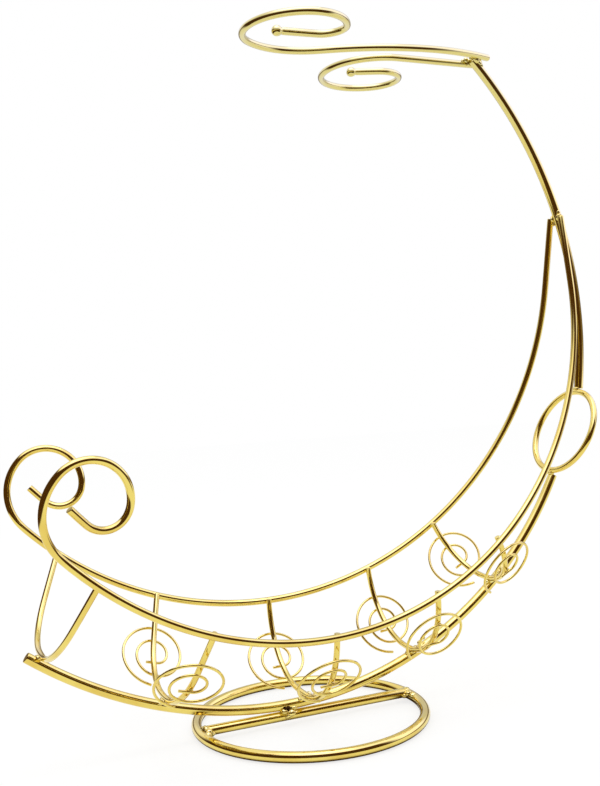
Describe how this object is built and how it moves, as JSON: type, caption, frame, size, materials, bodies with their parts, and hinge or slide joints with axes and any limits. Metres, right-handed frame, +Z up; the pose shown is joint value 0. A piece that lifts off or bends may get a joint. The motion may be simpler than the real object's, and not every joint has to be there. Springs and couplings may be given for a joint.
{
  "type": "wine glass rack",
  "caption": "Welded wire rack that cradles a bottle in a curved basket on a round foot, with scrolled hooks above it that hold stemmed glasses by their feet.",
  "frame": {"origin": "on the table, under the middle of the rack's outline", "axes": "+X from the scrolled low end of the cradle towards the mast, +Y towards the back rail, +Z up from the table"},
  "size_m": [0.3538, 0.137, 0.3829],
  "materials": {
    "gold_wire": "polished gold plating on steel wire"
  },
  "bodies": {
    "root": {"foot_ring": "gold_wire", "foot_crossbar": "gold_wire", "keel": "gold_wire", "hoop": "gold_wire", "mast": "gold_wire", "rail_front": "gold_wire", "rail_back": "gold_wire", "end_rib": "gold_wire", "rib_1": "gold_wire", "rib_2": "gold_wire", "rib_3": "gold_wire", "rib_4": "gold_wire", "spiral_1_front": "gold_wire", "spiral_1_back": "gold_wire", "spiral_2_front": "gold_wire", "spiral_2_back": "gold_wire", "spiral_3_front": "gold_wire", "spiral_3_back": "gold_wire", "spiral_4_front": "gold_wire", "spiral_4_back": "gold_wire", "glass_hook_long": "gold_wire", "glass_hook_short": "gold_wire"}
  },
  "joints": []
}
